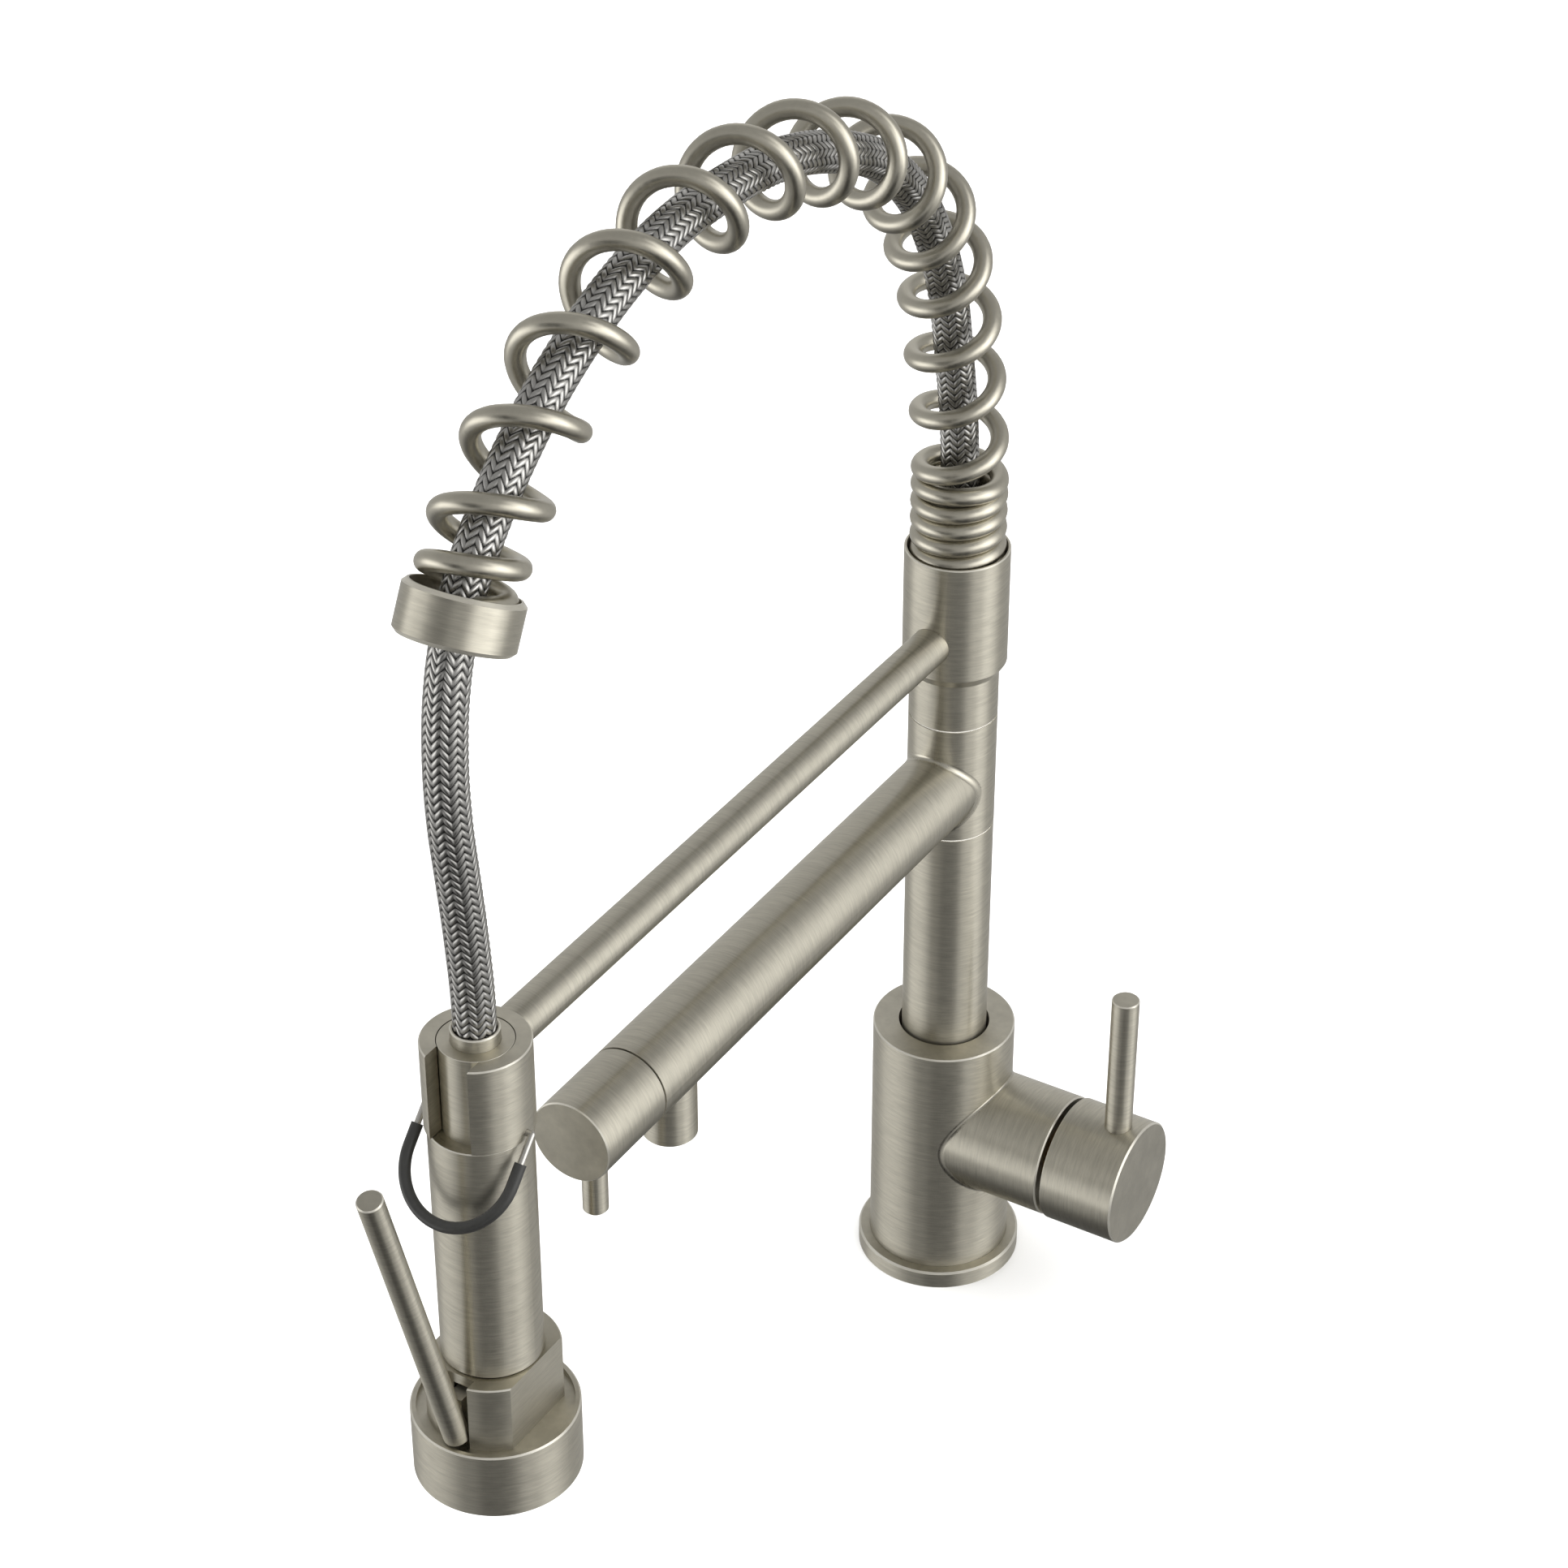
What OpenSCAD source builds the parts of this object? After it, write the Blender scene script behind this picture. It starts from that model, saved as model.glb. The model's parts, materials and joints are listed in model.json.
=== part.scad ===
// Spring-arch pull-down kitchen faucet with a side mixer and a pot-filler spout.
// Millimetres. Z is up and z = 0 is the deck the base rests on. The column stands on
// the Z axis, the spout, arm and spring arch reach toward -Y, the mixer toward +X.

/* [Column] */
// Outside diameter of the mixer body
body_d = 50; // [48:0.5:53]
// Height of the top of the mixer body above the deck
body_top = 100; // [96:1:106]
// Outside diameter of the column and its two turning sleeves
column_d = 29.8; // [29.4:0.1:30.4]
// Height of the joint between the column and the spout hub
hub_z = 185.5; // [180:0.5:190]

/* [Spout and arm] */
// Distance from the column axis to the sprayer axis
reach = 275; // [268:1:290]
// Length of the spout from the column axis to its end cap
spout_len = 231.5; // [222:0.5:234]
// Outside diameter of the spout tube
spout_d = 27.4; // [26.6:0.1:28]
// Outside diameter of the rod that carries the dock
arm_d = 13; // [11:0.5:14]

/* [Spring and hose] */
// Diameter of the spring wire
wire_d = 6; // [4.8:0.1:6.1]
// Outside diameter of the spring
spring_d = 32.2; // [31:0.1:32.6]
// Diameter of the braided hose
hose_d = 12.6; // [11:0.1:12.7]

/* [Mixer handle] */
// Outside diameter of the side branch that holds the cartridge
branch_d = 43.8; // [43:0.1:44.6]
// Length of the handle rod above the branch axis
handle_rise = 76.6; // [60:0.2:90]
// Diameter of the handle rod
handle_d = 9.6; // [8:0.1:10]

/* [Sprayer] */
// Outside diameter of the sprayer grip
grip_d = 30.5; // [30:0.1:31]
// Outside diameter of the spray bell
bell_d = 51; // [50:0.5:54]
// Length of the spray lever rod
lever_len = 116; // [100:1:120]

/* [Hidden] */
$fn = 96;
e = 0.05;
nickel = "#a9a396";
brass = "#b8964e";
rubber = "#2c2c2b";
plastic = "#d8d6cf";
ceramic = "#e8e4da";

// Heights on the column
gasket_h = 2;
ring_h = 6.5;
ring_d = body_d + 8;
branch_z = 58.4;
body_hole_d = column_d + 2.2;
body_hole_h = 14;
spigot_d = 26;
spigot_z = body_top - 30;
hub_h = 43.6;
washer_h = 0.6;
gap = 0.05;
hub_z0 = hub_z + washer_h + gap;
hub_z1 = hub_z + hub_h;
sleeve_z0 = hub_z1 + gap + washer_h + gap;
spout_z = hub_z + 17.7;
collar_z0 = hub_z + 61.8;
collar_z1 = collar_z0 + 45.4;
collar_d = column_d + 5.2;
// Bevel round the foot of the collar: how deep and how tall
collar_bevel = [2, 3.2];
sleeve_z1 = collar_z0 + 27.8;
arm_z = collar_z0 + 15.4;
post_d = 24;
post_bore = 13;
post_z0 = hub_z - 36;
post_z1 = sleeve_z0 + 31;

// Mixer cartridge and handle along X
seat_x = 20;
branch_x = 49.5;
pivot_x = 35.5;
cap_gap = 2;
cap_d = branch_d + 0.8;
cap_x0 = branch_x + cap_gap;
cap_x1 = 79;
rod_x = 70;
stem_w = 9;

// Spout end
seam_y = spout_len - 31.5;
cap_y0 = seam_y + 0.5;
outlet_y = seam_y - 22.3;
outlet_z = spout_z - 32.2;
outlet_d = 17.4;
spout_bore = 20;
pin_y = spout_len - 12;
pin_z = spout_z - 34;

// Dock and sprayer along Z at y = -reach
dock_d = 32;
dock_bore = 22.5;
dock_z1 = arm_z + 7.7;
dock_z0 = dock_z1 - 29.2;
slot_w = 14.2;
neck_d = 22;
grip_z1 = dock_z0 - 0.3;
block_z1 = grip_z1 - 83.4;
block_z0 = block_z1 - 23.3;
block_d = 41;
block_flat = 15.5;
rim_z = block_z0 + 1.6;
bell_z0 = block_z0 - 22.7;
nut_z0 = dock_z1 - 4.5;
nut_z1 = dock_z1 + 4.1;
nut_d = hose_d + 1.8;
lever_d = 7.9;
lever_tilt = 15.9;
lever_y = -reach - 20;
lever_z = block_z0 + 3;
pivot_y = -reach - 14;
pivot_z = block_z0 + 9.3;
plunger_z = pivot_z + 6;

// Bail hung on the dock
bail_z = dock_z0 + 2.3;
bail_r = dock_d / 2 + 1.7;
bail_leg = 15.3;
bail_wire_d = 2;
bail_tilt = 42.5;
sleeve_arc_leg = 6.5;

// Spring arch: one station per turn, [reach, height] of the coil centre, measured from
// the last close turn in the collar
coil_r = (spring_d - wire_d) / 2;
arch_foot = 321;
arch_lift = collar_z1 - 292.7;
spring_seat = sleeve_z1 + 0.2 + wire_d / 2;
close_length = arch_foot + arch_lift - spring_seat;
tight_turns = floor(close_length / (wire_d + 0.1) + 0.01);
tight_pitch = close_length / tight_turns;
arch = [
    [0, 0], [2, 21], [6, 43], [11, 66], [20, 88], [34, 109], [55, 128], [81, 141],
    [110, 150], [140, 153], [170, 152], [198, 145], [224, 133], [245, 118],
    [260, 103], [267, 93.5], [271, 86]
];
arch_scale = reach / 275;
spring_end_turn = 15.65;
ferrule_top = [268.5, 90.5];
ferrule_tilt = atan(tan(27) * arch_scale);
ferrule_d = 33.5;
ferrule_h = 14.4;
ferrule_bore = 29.8;
ferrule_eye = hose_d + 4.4;
// The last turns close in to sit in the ferrule
end_r = ferrule_bore / 2 - 0.8 - wire_d / 2;
end_taper = 1.6;
// Hose route, [reach, height] with heights from the same foot as the arch
hose_start = sleeve_z1 + 5.2;
hose_drop = [[276, 76], [280, 60], [281.5, 42], [281, 24], [279, 6], [277, -12], [275.5, -30], [275, -42]];

function lift(p) = [-p[0] * arch_scale, p[1] + arch_foot + arch_lift];
function cubic(a, b, c, d, t) =
    0.5 * (2 * b + (c - a) * t + (2 * a - 5 * b + 4 * c - d) * t * t
    + (3 * b - a - 3 * c + d) * t * t * t);
function along(list, u) =
    let (n = len(list) - 1, i = max(0, min(n - 1, floor(u))))
    cubic(list[max(0, i - 1)], list[i], list[i + 1], list[min(n, i + 2)], u - i);
function unit(v) = v / norm(v);

arch_path = [for (p = arch) lift(p)];
spring_path = concat(
    [for (k = [tight_turns : -1 : 1]) [0, lift(arch[0])[1] - k * tight_pitch]],
    arch_path);
spring_turns = tight_turns + spring_end_turn;
turn_steps = 16;
wire_sides = 8;
hose_path = concat(
    [[0, hose_start], [0, hose_start + 20]],
    [for (i = [0 : 14]) arch_path[i]],
    [lift([269, 91])],
    [for (p = hose_drop) lift(p)],
    [[-reach, nut_z0 + 2.5]]);
hose_steps = 3;
hose_sides = 12;

// Cylinder between two heights, centred on the Z axis
module rod(z0, z1, d) translate([0, 0, z0]) cylinder(h = z1 - z0, d = d);
// Tube between two heights
module tube(z0, z1, d, bore) difference() {
    rod(z0, z1, d);
    rod(z0 - 1, z1 + 1, bore);
}
// Cylinder with chamfered ends
module rod_c(z0, z1, d, c0, c1) rotate_extrude() polygon([
    [0, z0], [d / 2 - c0, z0], [d / 2, z0 + c0], [d / 2, z1 - c1], [d / 2 - c1, z1], [0, z1]
]);
// Lay a part drawn along Z out along +X at the branch height
module along_x() translate([0, 0, branch_z]) rotate([0, 90, 0]) children();
// Lay a part drawn along Z out along -Y at the spout height
module along_spout() translate([0, 0, spout_z]) rotate([90, 0, 0]) children();
module at_sprayer() translate([0, -reach, 0]) children();
// Ring of round section about the Z axis
module oring(z, r, section) translate([0, 0, z]) rotate_extrude() translate([r, 0]) circle(d = section, $fn = 24);
module groove(z, d, depth, w) difference() {
    rod(z - w / 2, z + w / 2, d + 2);
    rod(z - w, z + w, d - 2 * depth);
}

module base_ring() color(nickel) difference() {
    rod_c(0, ring_h, ring_d, 0, 0.7);
    rod(-1, gasket_h, ring_d - 3);
    rod(0, ring_h + 1, body_d + 2 * e);
}
module base_gasket() color(rubber) tube(0, gasket_h, ring_d - 3.2, body_d + 0.4);

module body() color(nickel) difference() {
    union() {
        rod_c(0, body_top, body_d, 0.3, 0.5);
        along_x() rod_c(0, branch_x, branch_d, 0, 0.5);
    }
    rod(body_top - body_hole_h, body_top + 1, body_hole_d);
    rod(spigot_z, body_top, spigot_d + 2 * e);
    along_x() rod(seat_x, branch_x + 1, 36);
    // inlets and fixing studs in the underside
    for (y = [-8.5, 8.5]) translate([6, y, 0]) {
        rod(0, 18, 9);
        rod(0, branch_z, 6);
    }
    for (y = [-8.5, 8.5]) translate([6, y, branch_z]) rotate([0, 90, 0]) rod(0, seat_x, 6);
    for (x = [-15.5, 17.5]) translate([x, 0, 0]) rod(0, 20, 6.8);
    // outlet from the cartridge up to the column
    translate([0, 0, branch_z + 8]) rotate([0, 90, 0]) rod(-3, seat_x + 1, 6);
    rod(branch_z + 4, spigot_z + 1, 12);
}

module cartridge_body() color(plastic) along_x() difference() {
    rod(seat_x, 42, 35.8);
    rod(24, 43, 31);
    for (p = [[0, 8.5], [0, -8.5], [-8, 0]]) translate([p[0], p[1], 0]) {
        rod(seat_x - 1, 25, 5);
        rod(seat_x - 1, seat_x + 1.6, 10);
    }
}
module cartridge_seals() color(rubber) along_x() for (p = [[0, 8.5], [0, -8.5], [-8, 0]])
    translate([p[0], p[1], 0]) tube(seat_x, seat_x + 1.6, 9.8, 6);
module disc_fixed() color(ceramic) along_x() difference() {
    rod(24, 28, 30.8);
    for (p = [[0, 8.5], [0, -8.5], [-8, 0]]) translate([p[0], p[1], 0]) rod(23, 29, 5);
}
module disc_moving() color(ceramic) along_x() difference() {
    rod(28 + gap, 32, 24);
    rod(29.2 - 1.4, 33, 5);
}
module cartridge_rotor() color(plastic) along_x() difference() {
    rod(32.3, 42, 30.9);
    translate([-5.2, -4.7, 30]) cube([14.2, 9.4, 14]);
    translate([0, 0, pivot_x]) rotate([90, 0, 0]) cylinder(h = 26, d = 3, center = true);
}
module stem_pin() color(brass) along_x() translate([0, 0, pivot_x]) rotate([90, 0, 0])
    cylinder(h = 24, d = 2.96, center = true);
module cartridge_nut() color(brass) along_x() tube(42.3, 48.5, 35.9, 25);
module mixer_stem() color(brass) along_x() difference() {
    union() {
        translate([0, 0, 30.6]) sphere(d = 4.4, $fn = 48);
        rod(30.6, 34, 3);
        translate([-stem_w / 2, -stem_w / 2, 33.5]) cube([stem_w, stem_w, 30.5]);
    }
    translate([0, 0, pivot_x]) rotate([90, 0, 0]) cylinder(h = 26, d = 3.06, center = true);
}
module handle_cap() color(nickel) difference() {
    along_x() union() {
        difference() {
            rod_c(cap_x0, cap_x1, cap_d, 0.3, 0.6);
            rod(cap_x0 - 1, cap_x1 - 3, 40.8);
            rotate_extrude() polygon([[0, cap_x0 - 1], [22.2, cap_x0 - 1], [20.2, cap_x0 + 1.2], [0, cap_x0 + 1.2]]);
        }
        rod(56, cap_x1 - 2, 17);
    }
    along_x() translate([-stem_w / 2 - 0.1, -stem_w / 2 - 0.1, 50]) cube([stem_w + 0.2, stem_w + 0.2, 14.2]);
    translate([rod_x, 0, branch_z]) {
        rod(2.5, 20, 6);
        rod(8.4, 30, handle_d + 0.1);
    }
    translate([60, 0, branch_z]) {
        rod(-9, 0, 5);
        rod(-30, -8, 5.6);
    }
}
module handle_rod() color(nickel) translate([rod_x, 0, branch_z]) union() {
    rod(3, 10, 5.9);
    rod_c(8.5, handle_rise, handle_d, 0, 0.4);
}
module handle_screw() color(brass) translate([60, 0, branch_z]) difference() {
    rod(-11.5, -4.6, 4.9);
    rod(-12, -9, 2.5);
}

module column_tube() color(nickel) difference() {
    union() {
        rod(spigot_z + 0.1, body_top - body_hole_h + 1, spigot_d);
        rod(body_top - body_hole_h + 0.1, hub_z, column_d);
    }
    rod(0, post_z0 - 0.1, 20);
    rod(post_z0 - 0.1, hub_z + 1, post_d + 2 * e);
    for (z = [spigot_z + 5, spigot_z + 10]) groove(z, spigot_d, 2.1, 2.2);
}
module column_orings() color(rubber) for (z = [spigot_z + 5, spigot_z + 10]) oring(z, spigot_d / 2 - 1, 2);
module swivel_post() color(brass) difference() {
    rod(post_z0, post_z1, post_d);
    rod(0, 400, post_bore);
    for (a = [0 : 90 : 270]) rotate([0, 0, a]) translate([0, 0, spout_z]) rotate([90, 0, 0]) rod(0, 20, 7);
    for (z = [hub_z0 + 6, hub_z1 - 8]) groove(z, post_d, 2.1, 2.2);
}
module post_orings() color(rubber) for (z = [hub_z0 + 6, hub_z1 - 8]) oring(z, post_d / 2 - 1, 2);
module post_nut() color(brass) tube(sleeve_z0 + 22, sleeve_z0 + 28, 27, post_d + 2 * e);
module swivel_washers() color(plastic) for (z = [hub_z, hub_z1 + gap])
    tube(z, z + washer_h, column_d - 0.4, post_d + 2 * e);

module spout() color(nickel) difference() {
    union() {
        rod(hub_z0, hub_z1, column_d + 0.2);
        along_spout() rod(0, seam_y, spout_d);
        translate([0, -outlet_y, 0]) rod_c(outlet_z, spout_z, outlet_d, 0.5, 0);
    }
    rod(hub_z0 - 1, hub_z1 + 1, post_d + 0.12);
    rod(spout_z - 6.5, spout_z + 6.5, 27);
    along_spout() rod(12, seam_y + 1, spout_bore);
    translate([0, -outlet_y, 0]) {
        rod(outlet_z - 1, outlet_z + 10.5, 13.4);
        rod(outlet_z, spout_z, 9);
    }
}
module spout_drum() color(brass) along_spout() difference() {
    union() {
        rod(outlet_y - 10, seam_y - 4, spout_bore - 0.12);
        rod(seam_y - 5, spout_len - 8, 10);
    }
    rod(outlet_y - 11, outlet_y + 10, 13);
    translate([0, 0, outlet_y]) rotate([0, 90, 0]) rod(0, 12, 9);
    for (z = [outlet_y - 8, outlet_y + 8]) groove(z, spout_bore - 0.12, 1.9, 2);
}
module drum_orings() color(rubber) along_spout() for (z = [outlet_y - 8, outlet_y + 8])
    oring(z, spout_bore / 2 - 0.98, 1.8);
module drum_nut() color(brass) along_spout() tube(seam_y - 3.7, seam_y - 0.2, spout_bore - 0.1, 10.4);
module spout_cap() color(nickel) difference() {
    along_spout() difference() {
        rod_c(cap_y0, spout_len, spout_d, 0.3, 0.4);
        rod(cap_y0 - 1, spout_len - 7, 10 + 2 * e);
        tube(cap_y0 - 1, cap_y0 + 5, 21, 14);
    }
    translate([0, -pin_y, spout_z]) rotate([180, 0, 0]) {
        rod(0, 14, 5);
        rod(11.4, 20, 8.1);
    }
}
module cap_pin() color(nickel) translate([0, -pin_y, spout_z]) rotate([180, 0, 0]) union() {
    rod(5.1, 12, 4.9);
    rod_c(11.5, spout_z - pin_z, 8, 0, 1);
}
module aerator_housing() color(brass) translate([0, -outlet_y, 0]) difference() {
    rod(outlet_z + 0.6, outlet_z + 9, 13.3);
    rod(outlet_z, outlet_z + 7.5, 11);
    rod(outlet_z, outlet_z + 10, 9);
}
module aerator_insert() color(plastic) translate([0, -outlet_y, outlet_z + 1]) difference() {
    cylinder(h = 6.4, d = 10.9);
    for (r = [1.7, 3.6]) for (a = [0 : 360 / round(r * 3.4) : 359]) rotate([0, 0, a])
        translate([r, 0, -1]) cylinder(h = 9, d = 1.2, $fn = 16);
}
module aerator_washer() color(rubber) translate([0, -outlet_y, 0]) tube(outlet_z + 9, outlet_z + 10.5, 13, 9.4);

module swivel_sleeve() color(nickel) difference() {
    rod(sleeve_z0, sleeve_z1, column_d + 0.2);
    rod(sleeve_z0 - 1, sleeve_z0 + 22, post_d + 0.12);
    rod(sleeve_z0 + 21.7, sleeve_z0 + 33, 28);
    rod(sleeve_z0, sleeve_z1 + 1, 14);
    translate([0, 0, arm_z + 6]) rotate([-90, 0, 0]) rod(column_d / 2 - 0.5, column_d, 4);
}
module collar() color(nickel) difference() {
    rotate_extrude() polygon([
        [0, collar_z0], [collar_d / 2 - collar_bevel[0], collar_z0],
        [collar_d / 2, collar_z0 + collar_bevel[1]], [collar_d / 2, collar_z1 - 0.4],
        [collar_d / 2 - 0.4, collar_z1], [0, collar_z1]
    ]);
    rod(collar_z0 - 1, sleeve_z1, column_d + 0.3);
    rod(sleeve_z1 - 1, collar_z1 + 1, spring_d + 1);
    translate([0, 0, arm_z]) rotate([90, 0, 0]) rod(0, 30, arm_d + 2 * e);
    translate([0, 0, arm_z + 6]) rotate([-90, 0, 0]) rod(0, 30, 4);
}
module collar_screw() color(brass) translate([0, 0, arm_z + 6]) rotate([-90, 0, 0]) difference() {
    rod(column_d / 2 - 0.4, column_d / 2 + 2.4, 3.9);
    rod(column_d / 2 + 0.9, column_d / 2 + 3, 2);
}
module hose_connector() color(brass) difference() {
    union() {
        rod(post_z1 - 18, sleeve_z1, post_bore - 0.14);
        rod(sleeve_z0 + 33, sleeve_z1 + 0.1, 13.9);
        translate([0, 0, sleeve_z1 + 0.1]) cylinder(h = 5, d = 19.6, $fn = 6);
    }
    rod(0, sleeve_z1 + 6, 8);
    groove(post_z1 - 10, post_bore, 1.9, 2);
}
module connector_oring() color(rubber) oring(post_z1 - 10, post_bore / 2 - 0.98, 1.8);
module hose_crimp() color(nickel) tube(hose_start + 0.1, hose_start + 20, 17.4, hose_d + 0.2);

module arm_rod() color(nickel) difference() {
    translate([0, 0, arm_z]) rotate([90, 0, 0]) rod(10, reach - 13, arm_d);
    rod(arm_z - 20, arm_z + 20, column_d + 0.4);
}
module dock() color(nickel) difference() {
    at_sprayer() difference() {
        rod_c(dock_z0, dock_z1, dock_d, 0.3, 0.4);
        rod(dock_z0 - 1, dock_z1 + 1, dock_bore);
        translate([-slot_w / 2, -dock_d, dock_z0 - 1]) cube([slot_w, dock_d, 40]);
        // rounded lips either side of the slot
        for (s = [-1, 1]) translate([s * slot_w / 2, -dock_d / 2 + 1.1, 0]) difference() {
            translate([-1.6, -1.6, dock_z0 - 1]) cube([3.2, 1.6, 40]);
            translate([s * 1.6, 0, 0]) rod(dock_z0 - 2, dock_z1 + 2, 3.2);
        }
        for (s = [-1, 1]) translate([0, 0, bail_z]) rotate([0, s * 90, 0]) rod(13, 20, bail_wire_d + 0.12);
    }
    translate([0, 0, arm_z]) rotate([90, 0, 0]) rod(reach - 30, reach - 12.9, arm_d + 2 * e);
}

// Spring: a round wire swept along a coil whose centre follows the arch
function coil_radius(u) =
    u < spring_turns - end_taper ? coil_r : coil_r + (end_r - coil_r) * (u - spring_turns + end_taper) / end_taper;
function coil_point(u) =
    let (c = along(spring_path, u), d = unit(along(spring_path, u + 0.02) - along(spring_path, u - 0.02)),
         a = 360 * u, r = coil_radius(u))
    [-r * cos(a), c[0] - r * sin(a) * d[1], c[1] + r * sin(a) * d[0]];
function coil_out(u) =
    let (c = along(spring_path, u), p = coil_point(u)) unit(p - [0, c[0], c[1]]);
module spring() color(nickel) {
    n = floor(spring_turns * turn_steps);
    us = [for (i = [0 : n]) 0.02 + i / turn_steps];
    rings = [for (u = us)
        let (p = coil_point(u), t = unit(coil_point(u + 0.01) - coil_point(u - 0.01)),
             o = coil_out(u), b = cross(t, o), w = cross(b, t))
        for (k = [0 : wire_sides - 1])
            let (a = 360 * k / wire_sides) p + wire_d / 2 * (cos(a) * w + sin(a) * b)];
    polyhedron(points = rings, faces = sweep_faces(n, wire_sides), convexity = 10);
}
function sweep_faces(n, sides) = concat(
    [[for (k = [0 : sides - 1]) k]],
    [[for (k = [sides - 1 : -1 : 0]) n * sides + k]],
    [for (i = [0 : n - 1]) for (k = [0 : sides - 1])
        let (a = i * sides + k, b = i * sides + (k + 1) % sides) each [[a, b + sides, b], [a, a + sides, b + sides]]]);
module at_ferrule() translate([0, lift(ferrule_top)[0], lift(ferrule_top)[1]]) rotate([180 - ferrule_tilt, 0, 0]) children();
module spring_ferrule() color(nickel) at_ferrule() difference() {
    rod_c(0, ferrule_h, ferrule_d, 1.2, 1.2);
    rod(-1, ferrule_h - 2, ferrule_bore);
    rod(0, ferrule_h + 1, ferrule_eye);
}
module ferrule_bush() color(plastic) at_ferrule() tube(ferrule_h - 5.5, ferrule_h - 2, ferrule_bore - 0.2, hose_d + 1.6);

// Hose: a tube of round section along its route
module hose() color("#8b8b88") {
    n = (len(hose_path) - 1) * hose_steps;
    rings = [for (i = [0 : n])
        let (u = i / hose_steps, c = along(hose_path, u), t = unit(along(hose_path, u + 0.05) - along(hose_path, u - 0.05)))
        for (k = [0 : hose_sides - 1])
            let (a = 360 * k / hose_sides)
            [hose_d / 2 * cos(a), c[0] - hose_d / 2 * sin(a) * t[1], c[1] + hose_d / 2 * sin(a) * t[0]]];
    polyhedron(points = rings, faces = sweep_faces(n, hose_sides), convexity = 10);
}

module hose_nut() color(nickel) at_sprayer() difference() {
    union() {
        rod(nut_z0 - 9, nut_z0 + 1, 12);
        rod_c(nut_z0, nut_z1, nut_d, 0, 0.4);
    }
    rod(nut_z0 + 2, nut_z1 + 1, hose_d + 0.3);
    rod(nut_z0 - 10, nut_z0 + 3, 8);
}
module sprayer_neck() color(nickel) at_sprayer() difference() {
    union() {
        rod_c(grip_z1 - 1, dock_z1 - 0.1, neck_d, 0, 0.1);
        rod(grip_z1 - 11, grip_z1, 26);
    }
    rod(nut_z0 - 0.1, dock_z1, nut_d + 0.12);
    rod(nut_z0 - 9.3, dock_z1, 12.12);
    rod(nut_z0 - 22, dock_z1, 10.1);
    rod(grip_z1 - 12, dock_z1, 8);
    rod(grip_z1 - 12, grip_z1 - 4, 12.1);
}
module check_valve() color(plastic) at_sprayer() difference() {
    rod(nut_z0 - 21.9, nut_z0 - 9.8, 10);
    rod(nut_z0 - 17, nut_z0 - 9, 7);
    for (a = [0 : 120 : 359]) rotate([0, 0, a]) translate([2.4, 0, 0]) rod(nut_z0 - 23, nut_z0 - 16, 2);
}
module sprayer_grip() color(nickel) at_sprayer() difference() {
    rod_c(block_z1 + 0.2, grip_z1, grip_d, 0.4, 0.3);
    rod(block_z1, grip_z1 + 1, 26.1);
}
module water_tube() color(plastic) at_sprayer() tube(block_z1 + 8.1, grip_z1 - 4, 12, 9);
module valve_block() color(nickel) difference() {
    at_sprayer() difference() {
        union() {
            intersection() {
                rod_c(block_z0, block_z1, block_d, 0, 0.4);
                translate([-block_flat, -40, 0]) cube([2 * block_flat, 80, 400]);
            }
            rod(block_z1 - 1, block_z1 + 8, 26);
            rod(block_z0 - 6, block_z0 + 1, 30);
        }
        translate([0, 2, 0]) rod(plunger_z, block_z1 + 9, 8);
        translate([0, -6.5, 0]) rod(block_z0 - 7, plunger_z, 4);
    }
    // channel the lever rod lies in, and the slot its tongue works in
    translate([-4.6, -reach - 30, block_z0]) cube([9.2, 14, block_z1 - block_z0 + 1]);
    translate([-2.9, -reach - 20, pivot_z - 6]) cube([5.8, 10.5, 16.5]);
    translate([-10.2, pivot_y, pivot_z]) rotate([0, 90, 0]) cylinder(h = 20.4, d = 3);
    translate([0, -reach, plunger_z]) rotate([-90, 0, 0]) {
        rod(-12, 0, 4.14);
        rod(-6.3, 10, 9);
        rod(9, 25, 12);
    }
}
module valve_plug() color(brass) translate([0, -reach, plunger_z]) rotate([-90, 0, 0]) difference() {
    rod(9.1, 18.5, 11.9);
    rod(15, 19, 6);
}
module valve_plunger() color(brass) translate([0, -reach, plunger_z]) rotate([-90, 0, 0]) union() {
    rod(-13.35, -4, 4);
    rod(-6.1, -3.5, 7.5);
}
// Small compression spring behind the plunger
module plunger_spring() color("#c0c0c0") translate([0, -reach, plunger_z]) rotate([-90, 0, 0]) {
    n = 5 * 12;
    rings = [for (i = [0 : n]) for (k = [0 : 5])
        let (a = 30 * i, r = 2.9 + 0.4 * cos(60 * k))
        [r * cos(a), r * sin(a), -1.2 + 9 * i / n - 0.4 * sin(60 * k)]];
    polyhedron(points = rings, faces = sweep_faces(n, 6), convexity = 6);
}
module spray_lever() color(nickel) difference() {
    union() {
        translate([0, lever_y, lever_z]) rotate([lever_tilt, 0, 0]) rod_c(0, lever_len, lever_d, 0.3, 0.4);
        translate([-2.5, lever_y, pivot_z - 3.5]) cube([5, 6.5, 12]);
        translate([-2.5, pivot_y, pivot_z]) rotate([0, 90, 0]) cylinder(h = 5, d = 7);
    }
    translate([-5, pivot_y, pivot_z]) rotate([0, 90, 0]) cylinder(h = 10, d = 3.1);
}
module lever_pin() color(brass) translate([-10, pivot_y, pivot_z]) rotate([0, 90, 0]) cylinder(h = 20, d = 2.96);
module spray_bell() color(nickel) at_sprayer() difference() {
    rod_c(bell_z0, rim_z, bell_d, 1.5, 0.5);
    rod(block_z0, rim_z + 1, bell_d - 3.6);
    rod(bell_z0 - 1, block_z0 - 4, bell_d - 4.4);
    rod(bell_z0, block_z0 + 1, 30.1);
}
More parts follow.
